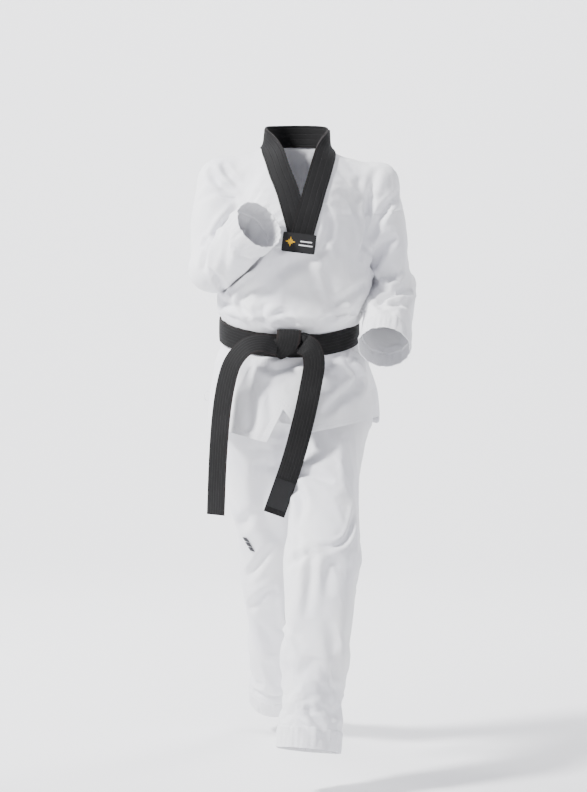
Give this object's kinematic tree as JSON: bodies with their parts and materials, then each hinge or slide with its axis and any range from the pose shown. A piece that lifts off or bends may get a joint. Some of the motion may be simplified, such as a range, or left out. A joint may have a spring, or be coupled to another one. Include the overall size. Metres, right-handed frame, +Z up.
{
  "type": "martial arts uniform",
  "caption": "White pullover V-neck jacket with black collar, knotted black belt and straight trousers, posed in a walking stance with raised forearms.",
  "frame": {"origin": "centre of the waist at belt height", "axes": "+Z up, +X towards the wearer's left, the front faces -Y"},
  "size_m": [0.4224, 0.7357, 1.1887],
  "materials": {
    "jacket_cloth": "matte",
    "trouser_cloth": "matte",
    "collar_cloth": "matte",
    "belt_cloth": "matte",
    "belt_label": "matte",
    "patch": "satin",
    "emblem": "satin",
    "elastic": "matte"
  },
  "bodies": {
    "torso": {"jacket_front": "jacket_cloth", "jacket_back": "jacket_cloth", "front_skirt_left": "jacket_cloth", "front_skirt_right": "jacket_cloth", "collar_left_band": "collar_cloth", "collar_right_band": "collar_cloth", "collar_back_band": "collar_cloth", "neck_patch": "patch", "right_shoulder_yoke": "jacket_cloth", "left_shoulder_yoke": "jacket_cloth", "side_tie_loop": "jacket_cloth", "belt_inner_wrap": "belt_cloth", "belt_outer_wrap": "belt_cloth", "belt_knot": "belt_cloth", "waistband": "trouser_cloth", "waist_elastic": "elastic", "seat_front": "trouser_cloth", "seat_back": "trouser_cloth", "crotch_gusset": "trouser_cloth"},
    "back_flap": {"back_skirt": "jacket_cloth"},
    "belt_tail_right": {"belt_right_tail": "belt_cloth"},
    "belt_tail_left": {"belt_left_tail": "belt_cloth", "belt_end_label": "belt_label"},
    "right_upper_arm": {"right_upper_sleeve": "jacket_cloth"},
    "right_forearm": {"right_elbow_cloth": "jacket_cloth", "right_lower_sleeve": "jacket_cloth", "right_cuff": "jacket_cloth"},
    "right_upper_leg": {"right_hip_cloth": "trouser_cloth", "right_thigh": "trouser_cloth", "thigh_emblem": "emblem"},
    "right_lower_leg": {"right_knee_cloth": "trouser_cloth", "right_shin": "trouser_cloth", "right_hem_band": "trouser_cloth"},
    "left_upper_arm": {"left_upper_sleeve": "jacket_cloth"},
    "left_forearm": {"left_elbow_cloth": "jacket_cloth", "left_lower_sleeve": "jacket_cloth", "left_cuff": "jacket_cloth"},
    "left_upper_leg": {"left_hip_cloth": "trouser_cloth", "left_thigh": "trouser_cloth"},
    "left_lower_leg": {"left_knee_cloth": "trouser_cloth", "left_shin": "trouser_cloth", "left_hem_band": "trouser_cloth"}
  },
  "joints": [
    {"name": "right_shoulder", "type": "hinge", "parent": "torso", "child": "right_upper_arm", "pos_m": [-0.136, 0.01, 0.284], "axis": [-1, 0, 0], "range_deg": [0, 70], "deforming": ["right_shoulder_yoke"]},
    {"name": "right_elbow", "type": "hinge", "parent": "right_upper_arm", "child": "right_forearm", "pos_m": [-0.151, -0.06, 0.122], "axis": [-0.8136, -0.5025, 0.2925], "range_deg": [-95, 8], "deforming": ["right_elbow_cloth"]},
    {"name": "right_hip", "type": "hinge", "parent": "torso", "child": "right_upper_leg", "pos_m": [-0.072, 0.006, -0.12], "axis": [-1, 0, 0], "range_deg": [-8, 25], "deforming": ["right_hip_cloth", "front_skirt_right"]},
    {"name": "right_knee", "type": "hinge", "parent": "right_upper_leg", "child": "right_lower_leg", "pos_m": [-0.061, 0.11, -0.481], "axis": [1, 0, 0], "range_deg": [-20, 55], "deforming": ["right_knee_cloth"]},
    {"name": "left_shoulder", "type": "hinge", "parent": "torso", "child": "left_upper_arm", "pos_m": [0.16, 0, 0.276], "axis": [-1, 0, 0], "range_deg": [-8, 70], "deforming": ["left_shoulder_yoke"]},
    {"name": "left_elbow", "type": "hinge", "parent": "left_upper_arm", "child": "left_forearm", "pos_m": [0.19, 0.025, 0.082], "axis": [-0.9613, 0.2496, -0.1165], "range_deg": [-50, 25], "deforming": ["left_elbow_cloth"]},
    {"name": "left_hip", "type": "hinge", "parent": "torso", "child": "left_upper_leg", "pos_m": [0.072, -0.004, -0.12], "axis": [-1, 0, 0], "range_deg": [-38, 8], "deforming": ["left_hip_cloth", "front_skirt_left"]},
    {"name": "left_knee", "type": "hinge", "parent": "left_upper_leg", "child": "left_lower_leg", "pos_m": [0.062, -0.205, -0.407], "axis": [1, 0, 0], "range_deg": [-18, 55], "deforming": ["left_knee_cloth"]},
    {"name": "belt_tail_right_swing", "type": "hinge", "parent": "torso", "child": "belt_tail_right", "pos_m": [-0.036, -0.127, -0.028], "axis": [-1, 0, 0], "range_deg": [0, 55], "deforming": ["belt_right_tail"]},
    {"name": "belt_tail_left_swing", "type": "hinge", "parent": "torso", "child": "belt_tail_left", "pos_m": [0.022, -0.126, -0.03], "axis": [-1, 0, 0], "range_deg": [0, 55], "deforming": ["belt_left_tail", "belt_end_label"]},
    {"name": "back_flap_swing", "type": "hinge", "parent": "torso", "child": "back_flap", "pos_m": [0, 0.098, -0.0475], "axis": [1, 0, 0], "range_deg": [0, 45]}
  ]
}
